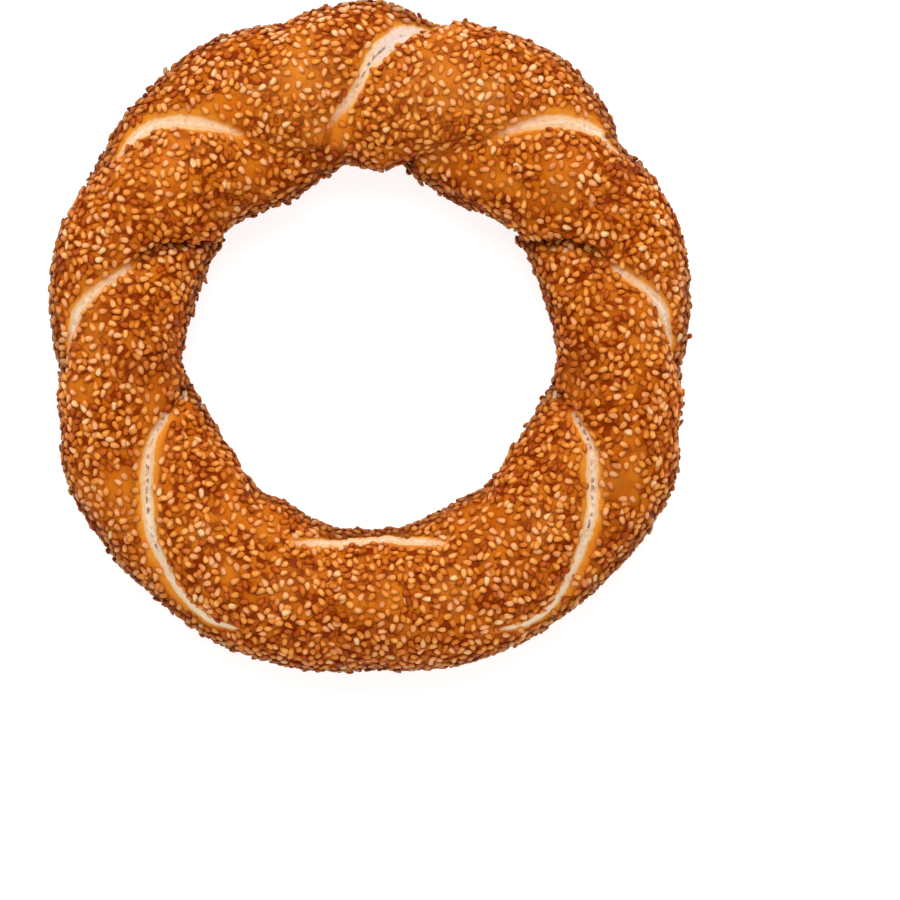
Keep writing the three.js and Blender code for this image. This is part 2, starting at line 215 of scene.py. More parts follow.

# ---- Where the crust is painted lighter or darker: [x, y, radius, lighter or darker] ----
# Partly uneven baking, partly painted light and shade, as in the dark patch at (±50, -6).
BAKED_AND_PAINTED_LIGHT_ON_BOTH_SIDES = [
    [16, 60, 13, 0.5], [51, 37, 7, 0.25], [50, -6, 8, -0.6], [67, -2, 5, 0.5],
    [58, -34, 8, -0.35], [62, -35.5, 4, -0.3], [42, -46, 6, 0.5], [21, -61, 6, 0.5],
    [60, -50, 12, -0.2], [0, -77, 14, -0.3], [63, 44, 7, -0.3],
]
BAKED_AND_PAINTED_LIGHT_ON_ONE_SIDE = [
    [46, 35, 6, -0.8], [59, 35, 5, -0.4], [66, 44.7, 5, -0.6], [57, 57, 5, -0.4],
    [29, 59, 6, 0.5], [-63.5, -34, 5, 0.6], [-71, -16, 5, 0.3], [-41, 36, 5, -0.3],
    [-28, 34, 4, -0.4], [-68.5, 42, 5, -0.6], [-49, 66, 6, -0.4], [-42, 74, 5, -0.4],
    [-42, 47, 5, 0.4], [-57.5, -7, 3.5, -0.5],
]

# ---- Small spots of bare dough or flour on both sides: [x, y, radius] ----
PALE_SPOTS = [
    [-45.1, -12.7, 0.75], [-44.7, -14, 0.6], [-47.3, 21.9, 0.7], [-44.6, 22.1, 0.7],
    [-30.9, 61.9, 0.6],
]
SPOT_EDGE = (0.7, 1.3)  # of its radius
SPOT_PALENESS = 0.95

# ---- Sesame ----
SEED_LENGTH = 2.45
SEED_WIDTH = 1.6
SEED_THICKNESS = 1.0
SEED_BLUNTNESS = 0.35
SEED_SIDES = 7
SEED_RINGS = 5
SIZE_SPREAD = 0.07
BEND_SPREAD = 0.12
TILT_SPREAD = 9  # degrees, as are the next two
ROLL_SPREAD = 9
LOOSE_TILT = 26
SEED_TRIES = 190000
SEED_REACH = 0.55  # of the two points, to each side of a seed's middle, that keep their distance
SEED_DISTANCE = 1.18
DISTANCE_SPREAD = (0.94, 1.12)
THIN_DISTANCE = 0.5  # how much further apart seeds lie where the coat is thin
SEED_HEIGHT = 0.18  # of a seed's middle above the crust
SEED_LOWEST = 0.02
LOOSE_SEEDS = 800  # that lie on top of the others
LOOSE_RISE = 0.5
LOOSE_DISTANCE = 2.4
# No seeds lie where the crust is paler, deeper in painted shade or thinner in its coat than this.
MOST_PALE = 0.15
MOST_SHADED = 0.75
MOST_THIN = 0.8
MOST_MARGIN = 0.3  # beside an opening only a few stray seeds lie
STRAY_SEEDS = 0.03
THICK_COAT = 0.25  # only on a coat this thick are there loose seeds
SEED_KINDS = [  # name, share of all, colour at the sides and with the painted highlight on top, colour of the tip
    ["sesame_golden", 0.24, "#d06c1e", "#ffb460", "#a04604"],
    ["sesame_tan", 0.25, "#d2702a", "#ffba7a", "#a04c10"],
    ["sesame_honey", 0.19, "#c85e10", "#f8a446", "#8c3602"],
    ["sesame_amber", 0.17, "#b84e0a", "#e6882e", "#7c2a00"],
    ["sesame_toasted", 0.1, "#983202", "#c8601c", "#601d00"],
    ["sesame_cream", 0.05, "#e09650", "#fcd49a", "#c07630"],
]
GOLDEN, TAN, HONEY, AMBER, _, CREAM = range(len(SEED_KINDS))
# Where the coat is thinner than this, the last three kinds become the first three.
THIN_COAT = 0.3
KIND_ON_THIN_COAT = np.array([GOLDEN, TAN, HONEY, GOLDEN, TAN, HONEY])
# On the side of the hole this share of the tan and cream seeds is of a browner kind.
BROWNER_SHARE = 0.6
INWARD_FROM = 0.1
# A seed's tone goes from dark to light with chance, the patches of baking and painted light and
# shade, and small patches.
TONE_START = 0.07
TONE_SPREAD = 0.86
TONE_BAKED_AND_PAINTED_LIGHT = 0.7
TONE_PATCHES = 0.5
TONE_PATCH_SIZE = 3.2
TONE_OFFSET = 5.5
SHADE_FROM_DARKER_PATCHES = 0.5
SEED_HIGHLIGHT_POWER = 1.5
SEED_TIP = (0.35, 1.0)  # where along its half length a seed's tip starts and is at its fullest

# ---- Colours of the crust and the dough ----
COATED = "#cc6c10"
COATED_DEEP = "#b6580a"
MOLASSES_AND_GAP_SHADE = "#862e00"
GLAZE = "#cc640c"
GLAZE_LIGHT = "#dc7e1c"
LIGHTER_BAKE_AND_PAINTED_LIGHT = "#e48e34"
DARKER_BAKE_AND_PAINTED_SHADE = "#742806"
UNDERSIDE_BROWN = "#5e2404"
SIDE_PAINTED_SHADE = "#4e1a00"
GOLDEN_EDGE = "#ee9c34"
DOUGH = "#f9e3ca"
DOUGH_DEEP = "#eeceac"
DOUGH_TORN = "#efcda0"
DOUGH_FLOURY = "#e2ccbc"
DOUGH_STAIN = "#cf9a68"
DOUGH_PORE = "#9c7a62"
DOUGH_PAINTED_LIGHT = "#ffe9c6"
DOUGH_GREYED = "#b48c68"
DOUGH_PIT = "#8d7668"
CREVICE_PAINTED_SHADE = "#4a1c06"
SEED_PAINTED_SHADE = "#5c2002"
BAKED_SHARE = 0.6  # of the lighter or darker colour, at most
UNDERSIDE_SHARE = 0.5
SIDE_SHADE_SHARE = 0.6
CREVICE_SHADE_SHARE = 0.85
STAIN_SHARE = 0.45
GLOW_STRENGTHS = (0.45, 0.85)  # from spot to spot
RAGGEDNESS = 1.1  # of the edges of bare dough
SEED_TONES = (-0.6, 0.8)  # the tones of the darkest and the lightest seeds
SEED_SIDE_HIGHLIGHT = 0.15  # how much painted highlight a seed has at its sides, against 1 on top
SEED_MOTTLE = 0.35
SEED_TIP_SHARE = 0.6
SEED_SHADE_SHARE = 0.5

# ---- Surfaces of the crust, the dough and the seeds ----
NOISE_DETAIL = 3.0
NOISE_ROUGHNESS = 0.55
CRUST_ROUGHNESS = 0.42
DOUGH_ROUGHNESS = 0.8
CRUST_SPECULAR = 0.03
CRUST_GRAIN = 0.12  # how high the finest grain is
COARSE_GRAIN = 1.5  # how many times as high the coarser grain is
SEED_ROUGHNESS = 0.42
SEED_SPECULAR = 0.08
SEED_GRAIN = 0.04

# What the crust's material reads from its mesh: how pale torn dough is, how golden an edge,
# how much painted shade a crevice has, how bare of seeds, how pitted, how far underneath, how
# much painted shade the steep sides have, and, also below 0, how much lighter the crust is
# painted, partly for uneven baking and partly as painted light and shade, and how much paler the
# dough is painted, as painted light on shaded slopes, or greyer where below 0.
CRUST_ATTRIBUTES = ("pale", "flank", "dark", "bare", "torn", "low", "painted_shade", "baked", "painted_light_and_grey")

# ---- How finely the faces follow the shape ----
RING_STEPS = 640
JOIN_CROWDING = 0.35  # how much closer the steps lie at the join
ROPE_STEPS = 72
SEAM_CROWDING = 0.6
UV_MARGIN = 0.004
SEED_UV_MARGIN = 0.08  # of a seed's own square

# ---- Floor, light and camera ----
FLOOR_RADIUS = 3.0
FLOOR_SIDES = 96
FLOOR_GREY = 0.5
FLOOR_GLOW = 0.75
FLOOR_ROUGHNESS = 0.9
LIGHT_SIZE = 2.0
LIGHTS = [["key", (-0.1, 1.5, 1.8), 48], ["fill", (0.3, -1.6, 1.4), 10]]  # name, place, watts
WORLD_STRENGTH = 0.46
CAMERA_HEIGHT = 1.5
SENSOR_WIDTH = 36
LEVEL_SEEN = 0.014  # height at which the picture's scale is set
VIEW_WIDTH = 0.22005
VIEW_MIDDLE = (0.01956, -0.0269)

rng = np.random.default_rng(1907)


# ---- Curves ----
def curve_through(points):
    """A smooth curve through the given points, which never overshoots them."""
    xs, ys = np.array(points, float).T
    rise = np.diff(ys) / np.diff(xs)
    before, after = rise[:-1], rise[1:]
    turning = before * after <= 0
    total = np.where(turning, 1, before + after)
    slopes = np.concatenate([[0], np.where(turning, 0, 2 * before * after / total), [0]])

    def curve(x):
        i = np.clip(np.searchsorted(xs, x, side="right") - 1, 0, len(xs) - 2)
        span = xs[i + 1] - xs[i]
        t = np.clip((x - xs[i]) / span, 0, 1)
        m0, m1 = slopes[i] * span, slopes[i + 1] * span
        t2, t3 = t**2, t**3
        values = (2 * t3 - 3 * t2 + 1) * ys[i] + (t3 - 2 * t2 + t) * m0
        return values + (3 * t2 - 2 * t3) * ys[i + 1] + (t3 - t2) * m1

    return curve


def columns_through(points):
    """One curve for each column after the clock angle."""
    table = np.array(points, float)
    return [curve_through(table[:, [0, column]]) for column in range(1, table.shape[1])]


def on_the_right(points):
    return [[-clock, *rest] for clock, *rest in reversed(points)]


def both_sides(places):
    """The places, and those that are not on the middle mirrored to the other side."""
    return places + [[-x, *rest] for x, *rest in places if x != 0]


def a_turn_on(points):
    return [[clock, section + 360, *rest] for clock, section, *rest in points]


def leaning(points):
    """The seams as they run on the right, shallower the nearer they come to the outer edge."""
    return [
        [clock, section + lean, depth * (1 + min(lean, 0) / FLAT_LEAN), opened]
        for clock, section, depth, opened in points
        for lean in [seams_lean(clock)]
    ]


def smooth_step(low, high, x):
    t = np.clip((x - low) / (high - low), 0, 1)
    return t * t * (3 - 2 * t)


midline_radius = curve_through(MIDLINE_RADIUS)
half_width = curve_through(HALF_WIDTH)
seams_lean = curve_through(SEAMS_LEAN_ON_THE_RIGHT)
pitted_at = curve_through(PITTED)
painted_light_and_grey_at = curve_through(PAINTED_LIGHT_AND_GREY)
ALL_DENTS = both_sides(DENTS_ON_BOTH_SIDES) + DENTS
SEAMS = [
    columns_through([*on_the_right(leaning(FIRST_SEAM)), *UNDER_JOIN, *SECOND_SEAM]),
    columns_through([*on_the_right(leaning(SECOND_SEAM)), *a_turn_on([*OVER_JOIN, *FIRST_SEAM])]),
]
TRIMS = [
    columns_through([*on_the_right(FIRST_TRIM), *UNDER_JOIN_TRIM, *SECOND_TRIM]),
    columns_through([*on_the_right(SECOND_TRIM), *OVER_JOIN_TRIM, *FIRST_TRIM]),
]


# ---- The shape of the crust ----
def rest_on_table(z, floor):
    z = z - floor
    near = (z + FLAT_BLEND) ** 2 / (4 * FLAT_BLEND)
    return floor + np.where(z <= -FLAT_BLEND, 0, np.where(z < FLAT_BLEND, near, z))


def wander(clock, phase):
    """How an opening's edge strays, in waves of a few millimetres and more."""
    return sum(share * np.sin(rate * clock + turn + phase) for rate, turn, share in EDGE_WAVES)


def at_both_seams(tables, clock, rope):
    """What the two seams' tables say at a rope's first side and at its last."""
    first, second = [[column(clock) for column in table] for table in tables]
    start = [np.where(rope == 0, a, b) for a, b in zip(first, second)]
    end = [np.where(rope == 0, b, a) for a, b in zip(first, second)]
    return start, end


def beside_seam(side, clock, rope, gap, seam, trim):
    """What the seam at a rope's first side (0) or last (1) does to the crust at this gap."""
    _, depth, opened = seam
    undercut, bare_before, bare_after, paleness, ledge = trim
    margin = bare_after if side == 0 else bare_before
    opening = opened * (1 + EDGE_WANDER * wander(clock, EDGE_SHIFT * (side + 2 * rope)))
    past_edge = gap - opening
    beyond = np.maximum(past_edge, 0)
    is_open = np.minimum(opened / OPEN_FROM, 1)

    relief = -depth * np.exp(-beyond / CREASE_REACH)
    relief = relief - TORN_EDGE * is_open * (1 - smooth_step(*TORN_STEP, past_edge))
    middle = np.clip(1 - (gap / np.maximum(opening, LEAST_OPENING)) ** 2, 0, 1)
    relief = relief + BULGE * np.minimum(opened / BULGES_FROM, 1) * middle

    low, high = GLOW_OPENING
    glow = np.exp(-np.maximum(beyond - GLOW_SHARE * margin, 0) / GLOW_REACH)
    glow = np.clip((opened - low) / (high - low), 0, 1) * glow / (1 + GLOW_THINNING * margin)
    closed = 1 - np.minimum(opened / LIGHT_FROM, 1)
    low, high = SHADED_DEPTH
    # Painted shade in the crease of a seam that is closed and deep.
    dark = closed * np.clip((depth - low) / (high - low), 0, 1) * np.exp(-gap / SHADE_REACH)
    if side == 0:
        stepped = smooth_step(0, LEDGE_WIDTH, past_edge)
        lower = np.maximum(beyond - LEDGE_WIDTH, 0)
        relief = relief - ledge * stepped * np.exp(-lower / LEDGE_REACH)
        # Painted shade in the crevice below a ledge.
        dark = np.maximum(dark, np.minimum(ledge, 1) * stepped * np.exp(-lower / CREVICE_REACH))
    has_bare = margin + opened > LEAST_OPENING
    return {
        "relief": relief,
        "shift": undercut * np.exp(-((gap / UNDERCUT_REACH) ** 2)),
        "pale": is_open * paleness * (1 - smooth_step(*PALE_STEP, past_edge)),
        "torn": pitted_at(np.abs(clock)) * is_open * np.exp(-((gap / PITS_REACH) ** 2)),
        "flank": glow,
        "dark": dark,
        "bare": has_bare * (1 - smooth_step(0, BARE_STEP, past_edge - margin)),
    }


def crust_at(clock, rope, share):
    """Points of the crust, at this share of the way across a rope, and what it is like there."""
    start, end = at_both_seams(SEAMS, clock, rope)
    start_trim, end_trim = at_both_seams(TRIMS, clock, rope)
    end[0] = end[0] + 360 * rope
    section = start[0] + share * (end[0] - start[0])
    width = half_width(np.abs(clock))
    thickness = (width + CROWN) / 2
    to_start = np.radians(section - start[0]) * thickness
    to_end = np.radians(end[0] - section) * thickness
    first = beside_seam(0, clock, rope, to_start, start, start_trim)
    last = beside_seam(1, clock, rope, to_end, end, end_trim)
    kept = ("pale", "torn", "flank", "dark", "bare")
    about = {key: np.maximum(first[key], last[key]) for key in kept}
    about["dark"] = about["dark"] * (1 - LIT_FLANK * about["flank"])

    relief = first["relief"] + last["relief"]
    for ring, turns, phase, height in UNEVENNESS:
        relief = relief + height * np.sin(np.radians(ring * clock + turns * section) + phase)
    rounding = np.minimum(start[1] / ROUNDED_DEPTH, 1) * (1 - share)
    rounding = rounding + np.minimum(end[1] / ROUNDED_DEPTH, 1) * share
    fall_away = ROPE_ROUNDING * rounding * (1 - np.sin(np.pi * share) ** ROUNDING_POWER)
    size = 1 - fall_away + relief / thickness
    angle = np.radians(section) + (first["shift"] + last["shift"]) / thickness
    across, up = np.cos(angle), np.sin(angle)

    radius = midline_radius(np.abs(clock)) + width * across * size
    for middle, spread, outer, inner in ALL_DENTS:
        near = np.exp(-(((clock - middle) / spread) ** 2))
        radius = radius + near * np.where(across > 0, outer, inner) * across**2
    height = MIDLINE_HEIGHT + np.where(up > 0, CROWN, BELLY) * up * size
    turn = np.radians(clock)
    x = RING_CENTRE[0] - radius * np.sin(turn)
    y = RING_CENTRE[1] + radius * np.cos(turn)
    # Painted shade on the steep sides, which turn away from the light.
    below = 1 - RIM_UNDERNEATH * smooth_step(*RIM_BELOW, -up)
    about["painted_shade"] = np.where(up > 0, 1 - smooth_step(*RIM_ABOVE, up), below)
    about["low"] = np.clip(-up, 0, 1)
    about["inward"] = -across
    about["painted_light_and_grey"] = painted_light_and_grey_at(np.abs(clock)) * np.ones_like(across)
    return np.stack([x, y, rest_on_table(height, UNDERSIDE)], -1), about


def noise_at(points, size, offset):
    """Smooth noise from about -1 to 1 whose lumps are this many mm across."""
    shifted = points / size + offset
    return np.array([noise.noise(Vector(p)) for p in shifted])


def clock_steps():
    even = 360 * np.arange(RING_STEPS) / RING_STEPS - 180
    return even - np.degrees(JOIN_CROWDING * np.sin(np.radians(even)))


def share_steps():
    even = np.arange(ROPE_STEPS) / ROPE_STEPS
    return even + SEAM_CROWDING * ((1 - np.cos(np.pi * even)) / 2 - even)


# ---- Meshes ----
def vertex_normals(points, quads):
    a, b, c, d = [points[quads[:, k]] for k in range(4)]
    face = np.cross(c - a, d - b)
    normals = np.zeros_like(points)
    for k in range(4):
        np.add.at(normals, quads[:, k], face)
    return normals / np.linalg.norm(normals, axis=1, keepdims=True)


def mesh_piece(name, points, corners, sizes, uvs, attributes, material):
    """A smooth mesh from arrays. points are in mm, corners and uvs have one entry for each
    corner of each face, and sizes say how many corners each face has."""
    mesh = bpy.data.meshes.new(name)
    mesh.vertices.add(len(points))
    mesh.loops.add(len(corners))
    mesh.polygons.add(len(sizes))
    mesh.vertices.foreach_set("co", (points * MM).astype(np.float32).ravel())
    mesh.loops.foreach_set("vertex_index", corners.astype(np.int32))
    mesh.polygons.foreach_set("loop_start", (np.cumsum(sizes) - sizes).astype(np.int32))
    mesh.polygons.foreach_set("loop_total", sizes.astype(np.int32))
    mesh.polygons.foreach_set("use_smooth", np.ones(len(sizes), bool))
    mesh.update(calc_edges=True)
    layer = mesh.uv_layers.new(name="OFBake")
    layer.data.foreach_set("uv", uvs.astype(np.float32).ravel())
    for key, values in attributes.items():
        attribute = mesh.attributes.new(key, "FLOAT", "POINT")
        attribute.data.foreach_set("value", values.astype(np.float32).ravel())
    mesh.materials.append(material)
    piece = bpy.data.objects.new(name, mesh)
    bpy.context.scene.collection.objects.link(piece)
    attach(piece, "root")
    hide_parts("simit")


# ---- Materials ----
def linear(hex_colour):
    """A linear RGBA colour from its usual hexadecimal form."""
    parts = [int(hex_colour[i : i + 2], 16) / 255 for i in (1, 3, 5)]
    return [p / 12.92 if p <= 0.04045 else ((p + 0.055) / 1.055) ** 2.4 for p in parts] + [1]


class Nodes:
    """Short ways to add nodes to a material."""

    def __init__(self, name):
        self.material = bpy.data.materials.new(name)
        self.material.use_nodes = True
        self.tree = self.material.node_tree
        self.shader = self.tree.nodes["Principled BSDF"]
        self.coords = self.tree.nodes.new("ShaderNodeTexCoord").outputs["Object"]

    def put(self, value, socket):
        """Links an output to the socket, or sets the socket to a number or a colour."""
        if isinstance(value, str):
            socket.default_value = linear(value)
        elif isinstance(value, (int, float)):
            socket.default_value = value
        else:
            self.tree.links.new(value, socket)

    def attribute(self, name):
        node = self.tree.nodes.new("ShaderNodeAttribute")
        node.attribute_name = name
        return node.outputs["Fac"]

    def noise(self, size_mm, detail=NOISE_DETAIL):
        node = self.tree.nodes.new("ShaderNodeTexNoise")
        node.inputs["Scale"].default_value = 1 / (size_mm * MM)
        node.inputs["Detail"].default_value = detail
        node.inputs["Roughness"].default_value = NOISE_ROUGHNESS
        self.put(self.coords, node.inputs["Vector"])
        return node.outputs["Fac"]

    def cells(self, size_mm):
        node = self.tree.nodes.new("ShaderNodeTexVoronoi")
        node.inputs["Scale"].default_value = 1 / (size_mm * MM)
        self.put(self.coords, node.inputs["Vector"])
        return node.outputs["Distance"]

    def band(self, value, low, high, to_low=0.0, to_high=1.0):
        """A smooth step between low and high."""
        node = self.tree.nodes.new("ShaderNodeMapRange")
        node.interpolation_type = "SMOOTHSTEP"
        limits = {"From Min": low, "From Max": high, "To Min": to_low, "To Max": to_high}
        for key, number in limits.items():
            node.inputs[key].default_value = number
        self.put(value, node.inputs["Value"])
        return node.outputs["Result"]

    def math(self, operation, a, b):
        node = self.tree.nodes.new("ShaderNodeMath")
        node.operation = operation
        self.put(a, node.inputs[0])
        self.put(b, node.inputs[1])
        return node.outputs[0]

    def times(self, a, b):
        return self.math("MULTIPLY", a, b)

    def mix(self, factor, a, b):
        """From colour a at factor 0 to colour b at 1."""
        node = self.tree.nodes.new("ShaderNodeMix")
        node.data_type = "RGBA"
        self.put(factor, node.inputs[0])
        self.put(a, node.inputs[6])
        self.put(b, node.inputs[7])
        return node.outputs[2]

    def bump(self, height, distance_mm):
        node = self.tree.nodes.new("ShaderNodeBump")
        node.inputs["Strength"].default_value = 1.0
        node.inputs["Distance"].default_value = distance_mm * MM
        self.put(height, node.inputs["Height"])
        self.put(node.outputs["Normal"], self.shader.inputs["Normal"])

    def finish(self, colour, roughness, specular):
        self.put(colour, self.shader.inputs["Base Color"])
        self.put(roughness, self.shader.inputs["Roughness"])
        self.put(specular, self.shader.inputs["Specular IOR Level"])
        return self.material


def dough_colour(n, pale):
    """The bare dough's colour, with its stains, its pores and the pits where it tore."""
    torn, painted_light_and_grey = n.attribute("torn"), n.attribute("painted_light_and_grey")
    dough = n.mix(n.band(n.noise(2.2, 4), 0.4, 0.65), DOUGH, DOUGH_DEEP)
    dough = n.mix(n.band(torn, 0.01, 0.3), DOUGH_TORN, dough)
    dough = n.mix(n.band(pale, 0.96, 1), dough, DOUGH_FLOURY)
    dough = n.mix(n.band(n.noise(1.1, 2), 0.5, 0.68, 0, STAIN_SHARE), dough, DOUGH_STAIN)
    pores = n.times(n.band(n.cells(1.1), 0.16, 0.05), n.band(n.noise(4), 0.5, 0.62))
    dough = n.mix(pores, dough, DOUGH_PORE)
    # Painted light: the dough is painted paler where its slope turns from the light.
    dough = n.mix(n.band(painted_light_and_grey, 0, 1), dough, DOUGH_PAINTED_LIGHT)
    dough = n.mix(n.band(painted_light_and_grey, 0, -1), dough, DOUGH_GREYED)
    pits = n.times(n.band(n.cells(1.3), 0.58, 0.4), n.band(torn, 0.35, 0.75))
    pits = n.times(n.times(pits, n.band(pale, 0.6, 0.8)), n.band(n.noise(6), 0.4, 0.55))
    return n.mix(pits, dough, DOUGH_PIT)


def crust_material():
    n = Nodes("crust_glazed")
    pale, flank, dark = n.attribute("pale"), n.attribute("flank"), n.attribute("dark")
    bare, baked = n.attribute("bare"), n.attribute("baked")
    coated = n.mix(n.band(n.noise(6, 2), 0.4, 0.65), COATED, COATED_DEEP)
    # Dark specks between the seeds: partly darker molasses, partly painted shade in the gaps.
    coated = n.mix(n.band(n.noise(2.2, 2), 0.42, 0.58), MOLASSES_AND_GAP_SHADE, coated)
    glazed = n.mix(n.band(n.noise(9), 0.35, 0.65), GLAZE, GLAZE_LIGHT)
    colour = n.mix(n.band(bare, 0.05, 0.75), coated, glazed)
    # Painted lighter: partly lighter baking, partly painted light.
    colour = n.mix(n.band(baked, 0, 1, 0, BAKED_SHARE), colour, LIGHTER_BAKE_AND_PAINTED_LIGHT)
    # Painted darker: partly darker baking, partly painted shade.
    colour = n.mix(n.band(baked, 0, -1, 0, BAKED_SHARE), colour, DARKER_BAKE_AND_PAINTED_SHADE)
    colour = n.mix(n.times(n.attribute("low"), UNDERSIDE_SHARE), colour, UNDERSIDE_BROWN)
    # Painted shade on the steep sides.
    colour = n.mix(n.times(n.attribute("painted_shade"), SIDE_SHADE_SHARE), colour, SIDE_PAINTED_SHADE)
    glow = n.times(flank, n.band(n.noise(2.5), 0.3, 0.6, *GLOW_STRENGTHS))
    colour = n.mix(glow, colour, GOLDEN_EDGE)
    ragged = n.times(n.math("SUBTRACT", n.noise(1.3), 0.5), RAGGEDNESS)
    ragged = n.math("ADD", pale, ragged)
    colour = n.mix(n.times(pale, n.band(ragged, 0.2, 0.5)), colour, dough_colour(n, pale))
    # Painted shade in creases and below ledges.
    colour = n.mix(n.times(dark, CREVICE_SHADE_SHARE), colour, CREVICE_PAINTED_SHADE)
    n.bump(n.math("ADD", n.noise(0.7, 4), n.times(n.noise(2.0), COARSE_GRAIN)), CRUST_GRAIN)
    roughness = n.band(pale, 0, 1, CRUST_ROUGHNESS, DOUGH_ROUGHNESS)
    return n.finish(colour, roughness, CRUST_SPECULAR)


def seed_material(name, dark, light, tip):
    n = Nodes(name)
    # Each seed is painted lighter on top, a painted highlight as if lit from above.
    painted_highlight = n.math("ADD", n.attribute("top"), SEED_SIDE_HIGHLIGHT)
    painted_highlight = n.times(n.band(n.attribute("tone"), *SEED_TONES), painted_highlight)
    colour = n.mix(painted_highlight, dark, light)
    colour = n.mix(n.times(n.band(n.noise(0.9), 0.45, 0.75), SEED_MOTTLE), colour, tip)
    colour = n.mix(n.times(n.attribute("tip"), SEED_TIP_SHARE), colour, tip)
    # Painted shade on seeds on the steep sides, in creases and in darker patches.
    colour = n.mix(n.times(n.attribute("painted_shade"), SEED_SHADE_SHARE), colour, SEED_PAINTED_SHADE)
    n.bump(n.noise(0.35), SEED_GRAIN)
    return n.finish(colour, SEED_ROUGHNESS, SEED_SPECULAR)


# ---- The bread ----
def closeness(points, x, y, radius):
    """1 at the middle of a patch that is seen from above, fading over its radius."""
    return np.exp(-((np.hypot(points[:, 0] - x, points[:, 1] - y) / radius) ** 2))


def add_patches(points, about):
    """Adds where the crust is painted lighter or darker, partly for uneven baking and partly as
    painted light and shade, and where it is spotted and thinly coated.
    """
    upper = points[:, 2] > MIDLINE_HEIGHT
    thin = np.zeros(len(points))
    for x, y, radius, strength in both_sides(BARE_ON_BOTH_SIDES) + BARE_ON_ONE_SIDE:
        thin = np.maximum(thin, strength * closeness(points, x, y, radius))
    about["baked"] = np.zeros(len(points))
    for x, y, radius, strength in both_sides(BAKED_AND_PAINTED_LIGHT_ON_BOTH_SIDES) + BAKED_AND_PAINTED_LIGHT_ON_ONE_SIDE:
        about["baked"] = about["baked"] + strength * closeness(points, x, y, radius)
    for x, y, radius in both_sides(PALE_SPOTS):
        away = np.hypot(points[:, 0] - x, points[:, 1] - y)
        spot = (1 - smooth_step(SPOT_EDGE[0] * radius, SPOT_EDGE[1] * radius, away)) * upper
        about["pale"] = np.maximum(about["pale"], SPOT_PALENESS * spot)
    blotches = noise_at(points, BLOTCH_SIZE, BLOTCH_OFFSET)
    thin = thin * upper * (1 + BLOTCHES_IN_PATCHES * blotches)
    about["thin"] = np.clip(thin + BLOTCHES_ELSEWHERE * smooth_step(*BLOTCH_STEP, blotches), 0, 1)
    about["margin"] = about["bare"]
    about["bare"] = np.maximum(about["bare"], about["thin"])


def build_crust():
    """The crust as one closed grid of quads. Its rows follow the ropes, which change places
    once round the ring. Returns what the seeds need to know about it."""
    columns = 2 * ROPE_STEPS
    clock = clock_steps()[:, None]
    row = np.arange(columns)[None, :]
    points, about = crust_at(clock, row // ROPE_STEPS, share_steps()[row % ROPE_STEPS])
    points = points.reshape(-1, 3)
    grid = (RING_STEPS, columns)
    about = {key: np.broadcast_to(values, grid).reshape(-1) for key, values in about.items()}

    def corner(i, j):
        row = np.where(i == RING_STEPS, j + ROPE_STEPS, j)
        return (i % RING_STEPS) * columns + row % columns

    i, j = [steps.ravel() for steps in np.mgrid[0:RING_STEPS, 0:columns]]
    corner_i = np.stack([i, i + 1, i + 1, i], 1)
    corner_j = np.stack([j, j, j + 1, j + 1], 1)
    quads = corner(corner_i, corner_j)
    normals = vertex_normals(points, quads)
    add_patches(points, about)

    lumps = sum(height * noise_at(points, size, offset) for size, offset, height in LUMPS)
    lumps = lumps * (1 - SMOOTH_DOUGH * about["pale"])
    points = points + normals * (lumps - COAT)[:, None]
    points[:, 2] = np.maximum(points[:, 2], LOWEST_CRUST)

    # The two halves of the ring lie one above the other on the texture's square.
    half = RING_STEPS // 2
    second = (i >= half)[:, None]
    u = UV_MARGIN + (1 - 2 * UV_MARGIN) * (corner_i - half * second) / half
    v = 0.5 * second + UV_MARGIN + (0.5 - 2 * UV_MARGIN) * corner_j / columns
    shown = {key: about[key] for key in CRUST_ATTRIBUTES}
    sizes, uvs = np.full(len(quads), 4), np.stack([u, v], -1)
    mesh_piece("bread_crust", points, quads.ravel(), sizes, uvs, shown, crust_material())
    return points, normals, quads, about


def spaced(order, heads, tails, apart, most):
    """The first seeds in this order whose two points keep their distance from the others'."""
    cell = apart.max()
    around = [(x, y, z) for x in (-1, 0, 1) for y in (-1, 0, 1) for z in (-1, 0, 1)]
    kept, filled = [], {}
    for n in order:
        ends = (heads[n].tolist(), tails[n].tolist())
        homes = [tuple(math.floor(value / cell) for value in end) for end in ends]
        limit = apart[n] ** 2
        near = (
            other
            for (x, y, z) in homes
            for dx, dy, dz in around
            for other in filled.get((x + dx, y + dy, z + dz), ())
        )
        if all(min(math.dist(end, other) for end in ends) ** 2 >= limit for other in near):
            kept.append(n)
            for home, end in zip(homes, ends):
                filled.setdefault(home, []).append(end)
        if len(kept) == most:
            break
    return np.array(kept)


